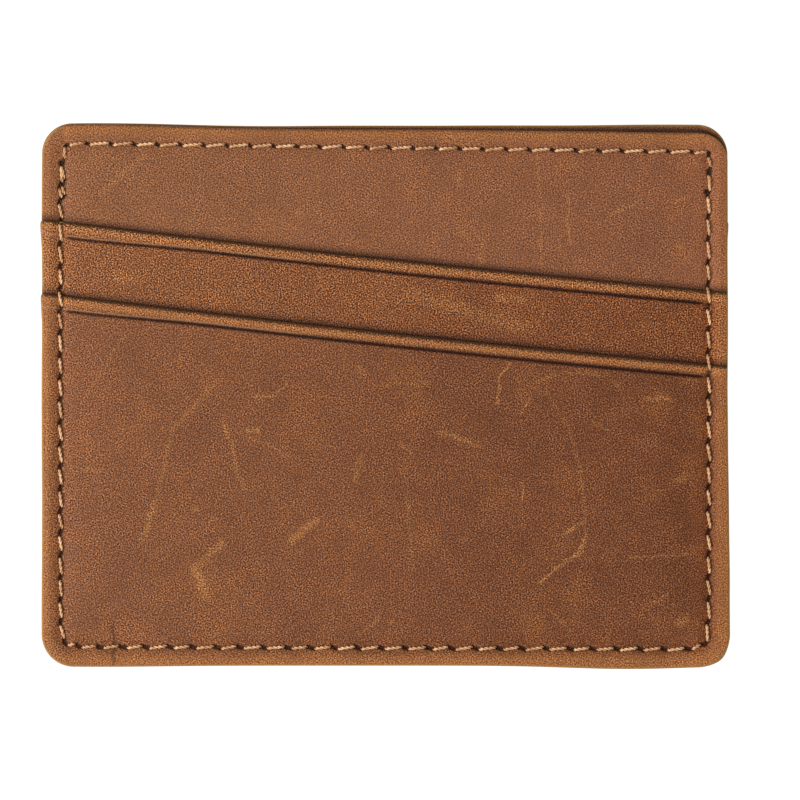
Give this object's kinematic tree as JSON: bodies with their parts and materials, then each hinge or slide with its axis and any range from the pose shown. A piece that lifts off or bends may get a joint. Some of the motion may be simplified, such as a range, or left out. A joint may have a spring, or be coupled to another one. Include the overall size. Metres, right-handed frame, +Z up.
{
  "type": "slim card wallet",
  "caption": "Slim leather card holder with slanted card pockets on front and back, an open centre pocket and light stitching around the edge.",
  "frame": {"origin": "under the centre of the wallet, on the surface that its back face lies on", "axes": "+X to the wallet's right seen from the front, +Y towards the pocket mouths, +Z up out of the front face"},
  "size_m": [0.1016, 0.08, 0.0058],
  "materials": {
    "leather_panel": "oiled pull-up, smooth",
    "leather_upper_pocket": "oiled pull-up, fine nap",
    "leather_lower_pocket": "oiled pull-up, fine nap",
    "lining": "fine twill",
    "interlining": "bonded fleece",
    "thread": "waxed two-ply"
  },
  "bodies": {
    "root": {"front_panel": "leather_panel", "front_upper_pocket": "leather_upper_pocket", "front_lower_pocket": "leather_lower_pocket", "front_interlining": "interlining", "front_lining": "lining", "back_panel": "leather_panel", "back_upper_pocket": "leather_upper_pocket", "back_lower_pocket": "leather_lower_pocket", "back_interlining": "interlining", "back_lining": "lining", "perimeter_needle_thread": "thread", "perimeter_bobbin_thread": "thread", "front_hem_needle_thread": "thread", "front_hem_bobbin_thread": "thread", "back_hem_needle_thread": "thread", "back_hem_bobbin_thread": "thread"}
  },
  "joints": []
}
